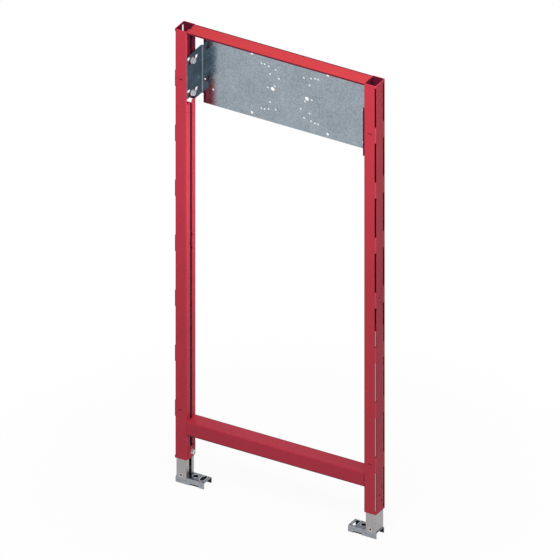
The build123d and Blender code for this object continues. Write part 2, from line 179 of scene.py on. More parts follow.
class NodeKit:
    """Adds nodes to one node tree."""

    def __init__(self, tree: bpy.types.NodeTree) -> None:
        """Start from an empty tree."""
        self.tree = tree
        tree.nodes.clear()

    def node(
        self,
        kind: str,
        settings: Mapping[str, Any] | None = None,
        sockets: Mapping[int | str, Value] | None = None,
        output: int | str = 0,
    ) -> Sock | None:
        """Add a node.

        Args:
            kind: Blender's name of the node's type.
            settings: The node's own settings. "stops" are the stops of a colour ramp.
            sockets: Values or links of its inputs, by place or name.
            output: The output that is given back.

        Returns:
            The chosen output, or None for a node that has none.
        """
        made = self.tree.nodes.new(kind)
        for name, value in (settings or {}).items():
            if name == "stops":
                self._set_stops(made.color_ramp, value)
            else:
                setattr(made, name, value)
        for key, value in (sockets or {}).items():
            if isinstance(value, Sock):
                self.tree.links.new(value.socket, made.inputs[key])
            else:
                made.inputs[key].default_value = value
        return Sock(self, made.outputs[output]) if made.outputs else None

    @staticmethod
    def _set_stops(ramp: bpy.types.ColorRamp, stops: Sequence[tuple[float, float]]) -> None:
        """Give a ramp grey stops.

        Args:
            ramp: The ramp.
            stops: Its stops, each a place and a level.
        """
        while len(ramp.elements) < len(stops):
            ramp.elements.new(1.0)
        for element, (place, level) in zip(ramp.elements, stops):
            element.position = place
            element.color = (level, level, level, 1.0)

    def places(self, scale: Sequence[float] = (1.0, 1.0, 1.0)) -> Sock:
        """Object coordinates, stretched by a scale along each axis."""
        coordinates = self.node("ShaderNodeTexCoord", output="Object")
        return self.node("ShaderNodeMapping", None, {"Vector": coordinates, "Scale": scale})

    def axes(self, places: Sock) -> tuple[Sock, Sock, Sock]:
        """The three parts of a place."""
        parts = [self.node("ShaderNodeSeparateXYZ", None, {"Vector": places}, output=axis) for axis in "XYZ"]
        return parts[0], parts[1], parts[2]

    def noise(self, places: Sock, scale: float, detail: float = 2.0) -> Sock:
        """Cloudy values from 0 to 1, at a number of spots to the metre."""
        sockets = {"Vector": places, "Scale": scale, "Detail": detail}
        return self.node("ShaderNodeTexNoise", None, sockets)

    def patches(
        self, places: Sock, scale: float, span: tuple[float, float], detail: float = 3.0, level: float = 1.0
    ) -> Sock:
        """Soft patches, read from noise.

        Args:
            places: Where the noise is read.
            scale: Number of spots to the metre.
            span: The noise at which a patch starts, and at which it is full.
            detail: Detail of the noise.
            level: Level of a full patch.

        Returns:
            0 between the patches, rising to the level in them.
        """
        stops = [(span[0], 0.0), (span[1], level)]
        return self.node("ShaderNodeValToRGB", {"stops": stops}, {"Fac": self.noise(places, scale, detail)})

    def blend(self, factor: Value, first: Value, second: Value) -> Sock:
        """A colour between two others."""
        sockets = {0: factor, 6: first, 7: second}
        return self.node("ShaderNodeMix", {"data_type": "RGBA"}, sockets, output=2)

    def tinted(self, colour: Value, tint: Value) -> Sock:
        """A colour times another."""
        settings = {"data_type": "RGBA", "blend_type": "MULTIPLY"}
        return self.node("ShaderNodeMix", settings, {0: 1.0, 6: colour, 7: tint}, output=2)

    def bump(self, height: Sock, strength: float, distance: float) -> Sock:
        """A surface normal from a height."""
        sockets = {"Strength": strength, "Distance": distance, "Height": height}
        return self.node("ShaderNodeBump", None, sockets)

    def seen(self) -> Sock:
        """1 for rays that show the background itself: seen directly, mirrored or through glass."""
        flags = [
            self.node("ShaderNodeLightPath", output=name)
            for name in ("Is Camera Ray", "Is Glossy Ray", "Is Transmission Ray")
        ]
        return flags[0].above(flags[1]).above(flags[2])


def opaque(colour: Colour) -> tuple[float, float, float, float]:
    """A colour with full alpha."""
    return (*colour, 1.0)


@dataclass(frozen=True)
class Finish:
    """A surface finish, made once and shared."""

    name: str

    def material(self) -> bpy.types.Material:
        """The finish as a material.

        Returns:
            The material, built at the first call.
        """
        made = bpy.data.materials.get(self.name)
        if made is None:
            made = bpy.data.materials.new(self.name)
            made.use_nodes = True
            kit = NodeKit(made.node_tree)
            surface = kit.node("ShaderNodeBsdfPrincipled", None, self.sockets(kit))
            kit.node("ShaderNodeOutputMaterial", None, {"Surface": surface})
        return made

    def sockets(self, kit: NodeKit) -> Inputs:
        """Inputs of the main shader, given by each finish."""
        raise NotImplementedError


@dataclass(frozen=True)
class Inside:
    """The space within upright profiles, round axes that stand at the same depth."""

    half_width: float
    half_depth: float
    bottom: float
    top: float
    axes_x: tuple[float, float] = AXES_X
    axis_y: float = AXIS_Y

    def mask(self, kit: NodeKit, places: Sock) -> Sock:
        """Tell the space from the rest.

        Args:
            kit: Adds the nodes.
            places: Where the mask is read.

        Returns:
            1 within the profiles, otherwise 0.
        """
        x, y, z = kit.axes(places)
        across = [(x - axis).size().below(self.half_width) for axis in self.axes_x]
        level = (z - (self.bottom + self.top) / 2).size().below((self.top - self.bottom) / 2)
        return across[0].above(across[1]) * (y - self.axis_y).size().below(self.half_depth) * level


# Masks of painted shade: within the posts, on their lips near the top, and within the feet under the web.
POST_INSIDE = Inside(half_width=13.2 * MM, half_depth=18.2 * MM, bottom=55 * MM, top=1200 * MM)
POST_MOUTH = Inside(
    half_width=7.3 * MM, half_depth=17.5 * MM, bottom=950 * MM, top=1123.8 * MM,
    axes_x=(AXES_X[0] + LIPS_FROM_AXIS, AXES_X[1] - LIPS_FROM_AXIS),
)
FOOT_INSIDE = Inside(half_width=100 * MM, half_depth=15.6 * MM, bottom=-1 * MM, top=13.7 * MM)


@dataclass(frozen=True)
class PowderCoat(Finish):
    """Baked powder coat with a fine orange peel, and painted shade inside the posts.

    Painted shade darkens the inner walls of a profile, and its lips close under the top rail and behind the
    plate's sides. Painted shade also darkens the edges of a rail and the far bend of the left post, and a
    painted highlight lightens the bend of the right post. The edges of a rail lie off the part unless they
    are set.
    """

    colour: Colour
    shade: Colour
    # The inside and edge colours are painted shade, the bend colour a painted highlight.
    inside_shade: Colour
    edge: Colour
    bend: Colour
    edge_before_y: float = -1.0
    edge_past_y: float = 1.0
    edge_under_z: float = -1.0
    far_bend_x: float = -12.2 * MM
    near_bend_x: float = 483.2 * MM
    bend_y: float = -1.8 * MM
    cloud_scale: float = 9.0
    cloud_share: float = 0.35
    grain_scale: float = 1500.0
    grain_share: float = 0.15
    peel_scale: float = 620.0
    peel_height: float = 0.05 * MM
    roughness: float = 0.42
    peel_roughness: float = 0.1
    cloud_roughness: float = 0.06
    inner_roughness: float = 0.25
    specular: float = 0.15

    def sockets(self, kit: NodeKit) -> Inputs:
        """Inputs of the main shader.

        Args:
            kit: Adds the nodes.

        Returns:
            Values or links by the socket's name.
        """
        places = kit.places()
        cloud = kit.patches(places, self.cloud_scale, (0.35, 0.75), detail=4.0)
        grain = kit.noise(places, self.grain_scale, 1.0)
        peel = kit.noise(places, self.peel_scale)
        mottle = cloud * self.cloud_share + grain * self.grain_share
        coat = kit.blend(mottle, opaque(self.colour), opaque(self.shade))
        x, y, z = kit.axes(places)
        bend = y.below(self.bend_y)
        front_or_back = y.below(self.edge_before_y).above(1 - y.below(self.edge_past_y))
        rail_edge = front_or_back.above(z.below(self.edge_under_z))
        # Painted shade on the edges of a rail and on the far bend of the left post.
        painted_edge_shade = rail_edge.above(bend * x.below(self.far_bend_x))
        coat = kit.blend(painted_edge_shade, coat, opaque(self.edge))
        # Painted highlight on the bend of the right post.
        coat = kit.blend(bend * (1 - x.below(self.near_bend_x)), coat, opaque(self.bend))
        # Painted shade within the posts and on their lips near the top.
        inner = POST_INSIDE.mask(kit, places).above(POST_MOUTH.mask(kit, places))
        dulling_and_side_shade = self.peel_roughness * peel + self.cloud_roughness * cloud + self.inner_roughness * inner
        return {
            "Base Color": kit.blend(inner, coat, opaque(self.inside_shade)),
            "Roughness": self.roughness + dulling_and_side_shade,
            "Normal": kit.bump(peel, strength=0.25, distance=self.peel_height),
            "Specular IOR Level": self.specular,
        }


@dataclass(frozen=True)
class Spangle(Finish):
    """Hot-dip zinc on sheet, with crystals that differ in shade and gloss."""

    light: Colour
    dark: Colour
    crystal_scale: float = 420.0
    crystal_share: float = 0.4
    cloud_scale: float = 22.0
    cloud_share: float = 0.15
    speck_scale: float = 900.0
    speck_share: float = 0.25
    streak_scale: float = 380.0
    streak_share: float = 0.2
    streak_stretch: tuple[float, float, float] = (1.0, 1.0, 0.02)
    roughness: float = 0.14
    crystal_roughness: float = 0.06
    tone_roughness: float = 0.06

    def tone(self, kit: NodeKit, places: Sock) -> tuple[Sock, Sock]:
        """Shade of the zinc.

        Args:
            kit: Adds the nodes.
            places: Where the shade is read.

        Returns:
            The shade from 0 to 1, and that of the crystals alone.
        """
        cells = {"Vector": places, "Scale": self.crystal_scale}
        crystal = kit.node("ShaderNodeTexVoronoi", None, cells, output="Color")
        shade = kit.node("ShaderNodeSeparateColor", None, {"Color": crystal})
        cloud = kit.patches(places, self.cloud_scale, (0.3, 0.7))
        speck = kit.noise(places, self.speck_scale)
        streak = kit.noise(kit.places(self.streak_stretch), self.streak_scale)
        coarse = self.crystal_share * shade + self.cloud_share * cloud
        return coarse + self.speck_share * speck + self.streak_share * streak, shade

    def colour(self, kit: NodeKit, places: Sock, tone: Sock) -> Sock:
        """Colour of the zinc for a shade."""
        return kit.blend(tone, opaque(self.dark), opaque(self.light))

    def sockets(self, kit: NodeKit) -> Inputs:
        """Inputs of the main shader.

        Args:
            kit: Adds the nodes.

        Returns:
            Values or links by the socket's name.
        """
        places = kit.places()
        tone, shade = self.tone(kit, places)
        return {
            "Base Color": self.colour(kit, places, tone),
            "Metallic": 1.0,
            "Roughness": self.roughness + self.crystal_roughness * shade + self.tone_roughness * tone,
            "Normal": kit.bump(tone, strength=0.05, distance=0.05 * MM),
        }


@dataclass(frozen=True)
class BentSheet(Spangle):
    """Spangled sheet with painted shade on its bent sides, and a painted shadow on the front edge of its
    right side.

    The bend lies between two distances from the middle of the frame.
    """

    # The bent sides take a cloudy painted shade between these two colours; the edge colour is a painted
    # shadow.
    side_shade_light: Colour = (0.50, 0.60, 0.68)
    side_shade: Colour = (0.30, 0.40, 0.44)
    side_scale: float = 45.0
    edge: Colour = (0.012, 0.012, 0.014)
    bend_start: float = 217.0 * MM
    bend_end: float = 215.6 * MM
    edge_before: float = -3.3 * MM

    def colour(self, kit: NodeKit, places: Sock, tone: Sock) -> Sock:
        """Colour of the zinc for a shade, with painted shade past the bend and a painted shadow on the right
        side's front edge.

        Args:
            kit: Adds the nodes.
            places: Where the colour is read.
            tone: The shade from 0 to 1.

        Returns:
            The colour.
        """
        face = super().colour(kit, places, tone)
        x, y, _ = kit.axes(places)
        reach = {"Value": (x - MIDDLE_X).size(), "From Min": self.bend_end, "From Max": self.bend_start}
        side = kit.node("ShaderNodeMapRange", None, reach)
        cloud = kit.patches(places, self.side_scale, (0.35, 0.65))
        dulling_and_side_shade = kit.blend(cloud, opaque(self.side_shade), opaque(self.side_shade_light))
        zinc = kit.tinted(face, kit.blend(side, opaque(WHITE), dulling_and_side_shade))
        # Painted shadow along the front edge of the right side.
        cut = y.below(self.edge_before) * (1 - x.below(MIDDLE_X))
        return kit.blend(cut, zinc, opaque(self.edge))


@dataclass(frozen=True)
class FootSheet(Spangle):
    """Spangled sheet of a foot, darker on its web, with painted shade under it."""

    web: Colour = (0.09, 0.10, 0.125)
    web_share: float = 0.7
    web_level: float = 15.3 * MM
    # Painted shade colour for the space within the foot, under its web.
    under_shade: Colour = (0.016, 0.018, 0.022)

    def colour(self, kit: NodeKit, places: Sock, tone: Sock) -> Sock:
        """Colour of the zinc for a shade, darker on the web, with painted shade within the foot.

        Args:
            kit: Adds the nodes.
            places: Where the colour is read.
            tone: The shade from 0 to 1.

        Returns:
            The colour.
        """
        zinc = super().colour(kit, places, tone)
        _, _, z = kit.axes(places)
        on_web = self.web_share - self.web_share * z.below(self.web_level)
        darkened_web = kit.blend(on_web, zinc, opaque(self.web))
        # Painted shade within the foot, under its web.
        return kit.blend(FOOT_INSIDE.mask(kit, places), darkened_web, opaque(self.under_shade))


@dataclass(frozen=True)
class Rubber(Finish):
    """Black rubber with a fine matt grain and a little dust."""

    colour: Colour
    dust: Colour = (0.12, 0.12, 0.12)
    dust_scale: float = 90.0
    dust_share: float = 0.25
    grain_scale: float = 800.0
    roughness: float = 0.7
    grain_roughness: float = 0.2

    def sockets(self, kit: NodeKit) -> Inputs:
        """Inputs of the main shader.

        Args:
            kit: Adds the nodes.

        Returns:
            Values or links by the socket's name.
        """
        places = kit.places()
        grain = kit.noise(places, self.grain_scale, 3.0)
        dusty = kit.patches(places, self.dust_scale, (0.5, 0.9), level=self.dust_share)
        return {
            "Base Color": kit.blend(dusty, opaque(self.colour), opaque(self.dust)),
            "Roughness": self.roughness + self.grain_roughness * grain,
            "Normal": kit.bump(grain, strength=0.3, distance=0.08 * MM),
        }


@dataclass(frozen=True)
class DrawnZinc(Finish):
    """Galvanised tube with faint lines along its length."""

    light: Colour
    dark: Colour
    line_scale: float = 700.0
    line_share: float = 0.6
    line_stretch: tuple[float, float, float] = (1.0, 1.0, 0.012)
    cloud_scale: float = 30.0
    cloud_share: float = 0.4
    roughness: float = 0.3
    cloud_roughness: float = 0.15

    def sockets(self, kit: NodeKit) -> Inputs:
        """Inputs of the main shader.

        Args:
            kit: Adds the nodes.

        Returns:
            Values or links by the socket's name.
        """
        lines = kit.noise(kit.places(self.line_stretch), self.line_scale, 3.0)
        cloud = kit.patches(kit.places(), self.cloud_scale, (0.3, 0.75))
        tone = self.line_share * lines + self.cloud_share * cloud
        return {
            "Base Color": kit.blend(tone, opaque(self.dark), opaque(self.light)),
            "Metallic": 1.0,
            "Roughness": self.roughness + self.cloud_roughness * cloud,
            "Normal": kit.bump(lines, strength=0.15, distance=0.04 * MM),
        }


@dataclass(frozen=True)
class BrightZinc(Finish):
    """Bright plating on small pieces, dulled in patches, with painted shade within the posts."""

    light: Colour
    dull: Colour
    # Painted shade colour for pieces within the posts.
    inside_shade: Colour = (0.02, 0.01, 0.012)
    patch_scale: float = 160.0
    scuff_scale: float = 1200.0
    metallic: float = 0.7
    roughness: float = 0.3
    patch_roughness: float = 0.15
    scuff_roughness: float = 0.05

    def sockets(self, kit: NodeKit) -> Inputs:
        """Inputs of the main shader.

        Args:
            kit: Adds the nodes.

        Returns:
            Values or links by the socket's name.
        """
        places = kit.places()
        patch = kit.patches(places, self.patch_scale, (0.35, 0.8))
        scuff = kit.noise(places, self.scuff_scale)
        plating = kit.blend(patch, opaque(self.light), opaque(self.dull))
        return {
            # Painted shade within the posts.
            "Base Color": kit.blend(POST_INSIDE.mask(kit, places), plating, opaque(self.inside_shade)),
            "Metallic": self.metallic,
            "Roughness": self.roughness + self.patch_roughness * patch + self.scuff_roughness * scuff,
            "Normal": kit.bump(scuff, strength=0.1, distance=0.03 * MM),
        }


# The red coat's inside and edge colours are painted shade, its bend colour a painted highlight.
RED = PowderCoat(
    "red powder coat", colour=(0.46, 0.033, 0.056), shade=(0.37, 0.026, 0.048), inside_shade=(0.10, 0.007, 0.024),
    edge=(0.11, 0.008, 0.022), bend=(0.57, 0.055, 0.08),
)
# The top rail's copy is less blue: painted warm light from above. Its front and back edges get painted
# shade.
TOP_RED_PAINTED_LIGHT = replace(
    RED, name="red powder coat of the top rail", edge_before_y=-3.5 * MM, edge_past_y=33 * MM,
    colour=(0.44, 0.028, 0.036), shade=(0.37, 0.022, 0.03),
)
# The bottom rail's copy is darker all over: painted shade. Its back and lower edges get painted shade too.
BOTTOM_RED_PAINTED_SHADE = replace(
    RED, name="red powder coat of the bottom rail", edge_past_y=33 * MM, edge_under_z=126 * MM,
    colour=(0.42, 0.029, 0.052), shade=(0.34, 0.023, 0.045),
)
PLATE = BentSheet("spangled plate", light=(0.47, 0.52, 0.57), dark=(0.15, 0.20, 0.24))
FOOT = FootSheet("spangled foot sheet", light=(0.44, 0.47, 0.51), dark=(0.15, 0.17, 0.20), roughness=0.24)
TUBE = DrawnZinc("drawn zinc tube", light=(0.45, 0.435, 0.435), dark=(0.29, 0.28, 0.28))
BOLT = BrightZinc("bright zinc plating", light=(0.76, 0.78, 0.80), dull=(0.42, 0.44, 0.47))
CLIP = BrightZinc("pale clip", light=(0.92, 0.93, 0.94), dull=(0.80, 0.82, 0.84), metallic=0.2)
RIVET = BrightZinc("dull rivet", light=(0.58, 0.58, 0.58), dull=(0.34, 0.34, 0.34), roughness=0.25)
# The rims' zinc is lighter than the foot's: a painted highlight on the rims' own rounded edges.
RIM = BrightZinc("rim of a foot with painted highlight", light=(0.60, 0.64, 0.70), dull=(0.40, 0.43, 0.48), roughness=0.25)
PAD = Rubber("black rubber", colour=(0.012, 0.012, 0.014))


class Shapes:
    """Mesh shapes that several pieces are made from. Round ones turn about the X axis."""

    @staticmethod
    def spun(profile: Profile, facets: int, hollow: bool = False) -> bmesh.types.BMesh:
        """A closed turned shape.

        Args:
            profile: Places along the axis and radii, from one end on the axis to the other.
            facets: Number of facets round the axis.
            hollow: Whether the profile keeps off the axis and closes on itself.

        Returns:
            A new bmesh.
        """
        turned = bmesh.new()
        verts = [turned.verts.new((along, radius, 0.0)) for along, radius in profile]
        edges = [turned.edges.new(pair) for pair in zip(verts, verts[1:])]
        if hollow:
            edges.append(turned.edges.new((verts[-1], verts[0])))
        bmesh.ops.spin(
            turned, geom=verts + edges, cent=(0, 0, 0), axis=(1, 0, 0), dvec=(0, 0, 0),
            angle=math.tau, steps=facets, use_merge=True,
        )
        bmesh.ops.remove_doubles(turned, verts=turned.verts[:], dist=MERGE_DISTANCE)
        bmesh.ops.recalc_face_normals(turned, faces=turned.faces[:])
        return turned

    @staticmethod
    def hexagon(shape: bmesh.types.BMesh, across: float) -> bmesh.types.BMesh:
        """Cut six flats on a turned shape.

        Args:
            shape: The turned shape.
            across: Distance across the flats.

        Returns:
            The same bmesh.
        """
        for turn in range(6):
            angle = math.tau * turn / 6
            out = Vector((0.0, math.cos(angle), math.sin(angle)))
            cut = bmesh.ops.bisect_plane(
                shape, geom=shape.verts[:] + shape.edges[:] + shape.faces[:], dist=CUT_TOLERANCE,
                plane_co=out * across / 2, plane_no=out, clear_outer=True,
            )
            rim = [item for item in cut["geom_cut"] if isinstance(item, bmesh.types.BMEdge)]
            bmesh.ops.edgeloop_fill(shape, edges=rim)
        bmesh.ops.recalc_face_normals(shape, faces=shape.faces[:])
        return shape

    @staticmethod
    def chamfered(start: float, end: float, radius: float, chamfer: float) -> Profile:
        """Profile of a plain disc with both rims chamfered."""
        return [
            (start, 0.0), (start, radius - chamfer), (start + chamfer, radius),
            (end - chamfer, radius), (end, radius - chamfer), (end, 0.0),
        ]

    @staticmethod
    def thread(start: float, end: float, radius: float, pitch: float) -> Profile:
        """Profile of a threaded rod: ridges a pitch apart, with a chamfered start.

        Args:
            start: Where the rod starts.
            end: Where it ends.
            radius: Outer radius of the thread.
            pitch: Distance from ridge to ridge.

        Returns:
            Places along the axis and radii.
        """
        root = radius - THREAD_DEPTH * pitch
        ridges = int((end - start) / pitch) - 1
        points = [(start, 0.0), (start, root)]
        for ridge in range(ridges):
            foot = start + (ridge + 0.5) * pitch
            points += [(foot, root), (foot + pitch / 2, radius)]
        return points + [(end, radius), (end, 0.0)]

    @staticmethod
    def rim(radius: float, width: float, height: float, stretch: float) -> bmesh.types.BMesh:
        """A flat ring with rounded edges that lies on a sheet, upwards along Z.

        Args:
            radius: Radius of its opening.
            width: Width of the ring.
            height: Height of the ring.
            stretch: Length of the straight part that makes the opening a slot along Y.

        Returns:
            A new bmesh.
        """
        soft = height / 3
        outer = radius + width
        profile = [
            (0.0, radius), (height - soft, radius), (height, radius + soft), (height, outer - soft),
            (height - soft, outer), (0.0, outer),
        ]
        ring = Shapes.spun(profile, RIM_FACETS, hollow=True)
        for sign in (1.0, -1.0):
            half = [vert for vert in ring.verts if vert.co.y * sign > 0.0]
            bmesh.ops.translate(ring, vec=(0.0, sign * stretch / 2, 0.0), verts=half)
        bmesh.ops.rotate(ring, matrix=Matrix.Rotation(-math.pi / 2, 3, "Y"), verts=ring.verts[:])
        return ring

    @staticmethod
    def box(low: Place, high: Place, bevel: float) -> bmesh.types.BMesh:
        """A block with rounded edges.

        Args:
            low: Its corner with the smallest coordinates.
            high: The corner across from it.
            bevel: Width of the rounded edges.

        Returns:
            A new bmesh.
        """
        block = bmesh.new()
        size = [b - a for a, b in zip(low, high)]
        middle = [(a + b) / 2 for a, b in zip(low, high)]
        place = Matrix.Translation(middle) @ Matrix.Diagonal((*size, 1.0))
        bmesh.ops.create_cube(block, size=1.0, matrix=place)
        bmesh.ops.bevel(
            block, geom=block.edges[:], offset=bevel, segments=BEVEL_SEGMENTS, profile=0.5,
            affect="EDGES", material=-1,
        )
        return block

    @staticmethod
    def joined(name: str, shapes: Sequence[bmesh.types.BMesh], place: Matrix) -> bpy.types.Object:
        """One object from several shapes, with its place in its mesh.

        Args:
            name: Name of the object.
            shapes: The shapes, which are used up.
            place: Where they go in the row frame.

        Returns:
            The object, at the origin.
        """
        whole = bmesh.new()
        for shape in shapes:
            part = bpy.data.meshes.new(name)
            shape.to_mesh(part)
            shape.free()
            whole.from_mesh(part)
            bpy.data.meshes.remove(part)
        bmesh.ops.transform(whole, matrix=place, verts=whole.verts[:])
        mesh = bpy.data.meshes.new(name)
        whole.to_mesh(mesh)
        whole.free()
        mesh.shade_smooth()
        mesh.set_sharp_from_angle(angle=SHARP_ANGLE)
        made = bpy.data.objects.new(name, mesh)
        bpy.context.scene.collection.objects.link(made)
        return made


def dress(node: str, finish: Finish) -> None:
    """Give a solid of the frame its finish.

    Args:
        node: Name of the solid.
        finish: The finish.
    """
    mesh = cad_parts[node].data
    mesh.materials.clear()
    mesh.materials.append(finish.material())


@dataclass(frozen=True)
class Berth:
    """What carries a new piece, and what it is made of."""

    body: str
    slot: Slot
    finish: Finish

    def settle(self, piece: bpy.types.Object) -> None:
        """Finish a new piece and let it ride on the body.

        Args:
            piece: The new piece, in its place.
        """
        body = self.body
        piece.data.materials.append(self.finish.material())
        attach(piece, body)
        LOG.info("%s rides on %s with %d faces", piece.name, body, len(piece.data.polygons))

    def block(self, name: str, low: Place, high: Place, bevel: float = EDGE_BEVEL) -> None:
        """Make a block with rounded edges as a new piece.

        Args:
            name: Name of the piece.
            low: Its corner with the smallest coordinates.
            high: The corner across from it.
            bevel: Width of the rounded edges.
        """
        self.settle(Shapes.joined(name, [Shapes.box(low, high, bevel)], Matrix()))


RED_FRAME = Berth("frame", Slot.RED, RED)


@dataclass
class HexBolt:
    """Bolt with a washer and a hexagon head, in place of a plain one of the frame."""

    node: str
    side: Side
    diameter: float
    pitch: float
    across: float
    head: float
    washer: float
    washer_thickness: float
    washer_chamfer: float = 0.25 * MM
    shank_overlap: float = 0.5 * MM
    crown_share: float = 0.94
    crown_angle: float = math.radians(30)

    def place(self) -> tuple[Matrix, float]:
        """Where the bolt sits.

        Returns:
            The matrix that puts the washer's seat and the axis in place, and the shank's length.
        """
        low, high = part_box(self.node)
        length = high.x - low.x - self.head - self.washer_thickness
        seat_x = self.side.outer_x(low, high) + self.side.inward * length
        seat = Vector((seat_x, (low.y + high.y) / 2, (low.z + high.z) / 2))
        turn = Matrix.Rotation(0.0 if self.side is Side.LEFT else math.pi, 4, "Z")
        return Matrix.Translation(seat) @ turn, length

    def build(self) -> None:
        """Make the bolt and dress it."""
        place, length = self.place()
        thread = Shapes.thread(-length, self.shank_overlap, self.diameter / 2, self.pitch)
        disc = Shapes.chamfered(0.0, self.washer_thickness, self.washer / 2, self.washer_chamfer)
        corner = self.across / math.sqrt(3)
        top = self.washer_thickness + self.head
        crown = self.across / 2 * self.crown_share
        slope = (corner - crown) * math.tan(self.crown_angle)
        head = [
            (self.washer_thickness, 0.0), (self.washer_thickness, corner), (top - slope, corner),
            (top, crown), (top, 0.0),
        ]
        parts = [
            Shapes.spun(thread, SHANK_FACETS), Shapes.spun(disc, HEAD_FACETS),
            Shapes.hexagon(Shapes.spun(head, HEAD_FACETS), self.across),
        ]
        bolt = Shapes.joined(f"{self.node}_dressed", parts, place)
        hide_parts(self.node)
        Berth("frame", Slot.BOLT, BOLT).settle(bolt)


@dataclass
class LegRivet:
    """Hollow rivet of a leg, its rims rolled over on both faces."""

    side: Side
    bore: float = 5 * MM
    shank: float = 8 * MM
    head: float = 11.5 * MM
    head_height: float = 1.2 * MM

    def rim(self) -> Profile:
        """One rolled rim, from the bore to the shank: distances from its end, and radii."""
        bore, head = self.bore / 2, self.head / 2
        return [
            (0.7 * MM, bore), (0.2 * MM, bore + 0.25 * MM), (0.0, bore + 0.8 * MM), (0.0, head - 1.1 * MM),
            (0.15 * MM, head - 0.5 * MM), (0.5 * MM, head - 0.1 * MM), (self.head_height, head),
            (self.head_height, self.shank / 2),
        ]

    def build(self) -> None:
        """Make the rivet and dress it."""
        node = self.side.node("leg_rivet")
        low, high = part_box(node)
        half = (high.y - low.y) / 2
        front = [(along - half, radius) for along, radius in self.rim()]
        back = [(half - along, radius) for along, radius in reversed(self.rim())]
        place = Matrix.Translation((low + high) / 2) @ Matrix.Rotation(math.pi / 2, 4, "Z")
        turned = Shapes.spun(front + back, RIVET_FACETS, hollow=True)
        rivet = Shapes.joined(f"{node}_dressed", [turned], place)
        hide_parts(node)
        Berth(self.side.foot_body, Slot.BOLT, RIVET).settle(rivet)


@dataclass
class WeldBead:
    """Rippled bead of weld along Y, in the corner between two pieces of a body."""

    name: str
    start: Vector
    length: float
    berth: Berth
    radius: float = 1.3 * MM
    ripple: float = 1.6 * MM
    facets: int = 10
    end_share: float = 0.6
    valley_share: float = 0.82

    def build(self) -> None:
        """Make the bead and dress it."""
        bead = bmesh.new()
        bmesh.ops.create_circle(
            bead, cap_ends=True, segments=self.facets, radius=self.end_share * self.radius,
            matrix=Matrix.Rotation(-math.pi / 2, 4, "X"),
        )
        steps = max(2, round(self.length / self.ripple)) * 2
        front = bead.faces[:]
        for step in range(1, steps + 1):
            grown = bmesh.ops.extrude_face_region(bead, geom=front)["geom"]
            verts = [item for item in grown if isinstance(item, bmesh.types.BMVert)]
            bmesh.ops.delete(bead, geom=front if step > 1 else [], context="FACES_ONLY")
            front = [item for item in grown if isinstance(item, bmesh.types.BMFace)]
            along = self.length * step / steps
            wanted = self.radius * (1.0 if step % 2 else self.valley_share)
            middle = sum((v.co for v in verts), Vector()) / len(verts)
            factor = wanted / (verts[0].co - middle).length
            bmesh.ops.scale(
                bead, vec=(factor, factor, factor), space=Matrix.Translation(-middle), verts=verts
            )
            bmesh.ops.translate(bead, vec=(0.0, along - middle.y, 0.0), verts=verts)
        bmesh.ops.recalc_face_normals(bead, faces=bead.faces[:])
        self.berth.settle(Shapes.joined(self.name, [bead], Matrix.Translation(self.start)))


@dataclass
class Carcass:
    """The red posts, rails and clamp plates, with their weld beads, tabs and blank."""

    lip: float = 15.5 * MM
    margin: float = 2.5 * MM
    tab_width: float = 18 * MM
    tab_drop: float = 12 * MM
    tab_thickness: float = 1.5 * MM
    blank_width: float = 19 * MM
    blank_height: float = 14 * MM
    blank_thickness: float = 0.8 * MM
    blank_level: float = 933.5 * MM
    blank_bevel: float = 0.2 * MM

    def beads(self) -> list[WeldBead]:
        """Beads at both ends of both rails, on each lip of the post.

        Returns:
            The beads, not built yet.
        """
        found = []
        length = self.lip - self.margin
        for rail, levels in (("top_rail", ("low",)), ("bottom_rail", ("low", "high"))):
            low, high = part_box(rail)
            for end, x in (("left", low.x), ("right", high.x)):
                for level in levels:
                    z = low.z if level == "low" else high.z
                    for lip, y in (("front", low.y + self.margin), ("back", high.y - self.lip)):
                        name = f"{rail}_{end}_{level}_{lip}_weld"
                        found.append(WeldBead(name, Vector((x, y, z)), length, RED_FRAME))
        return found

    def tab(self, side: Side) -> None:
        """Make the tab of the top rail, which closes the slit of a post from within at its top.

        Args:
            side: The side of the post.
        """
        low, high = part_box("top_rail")
        near = side.outer_x(low, high) - side.inward * POST_WALL
        x = sorted((near, near - side.inward * self.tab_thickness))
        middle = (low.y + high.y) / 2
        RED_FRAME.block(
            side.node("top_rail_tab"),
            (x[0], middle - self.tab_width / 2, low.z - self.tab_drop),
            (x[1], middle + self.tab_width / 2, high.z),
        )

    def blank(self, side: Side) -> None:
        """Make the small sheet that closes the window in the back wall of a post from within.

        Args:
            side: The side of the post.
        """
        low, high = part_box(side.node("post"))
        middle = (low.x + high.x) / 2
        back = high.y - POST_WALL
        bottom = self.blank_level - self.blank_height / 2
        # Within the post the sheet takes the painted inside shade, so the window shows dark.
        RED_FRAME.block(
            side.node("post_blank"),
            (middle - self.blank_width / 2, back - self.blank_thickness, bottom),
            (middle + self.blank_width / 2, back, bottom + self.blank_height),
            self.blank_bevel,
        )

    def build(self) -> None:
        """Dress the solids, weld them and close their openings."""
        dress("top_rail", TOP_RED_PAINTED_LIGHT)
        dress("bottom_rail", BOTTOM_RED_PAINTED_SHADE)
        for side in Side:
            dress(side.node("post"), RED)
            dress(side.node("clamp_plate"), RED)
            self.tab(side)
        self.blank(Side.RIGHT)
        for bead in self.beads():
            bead.build()


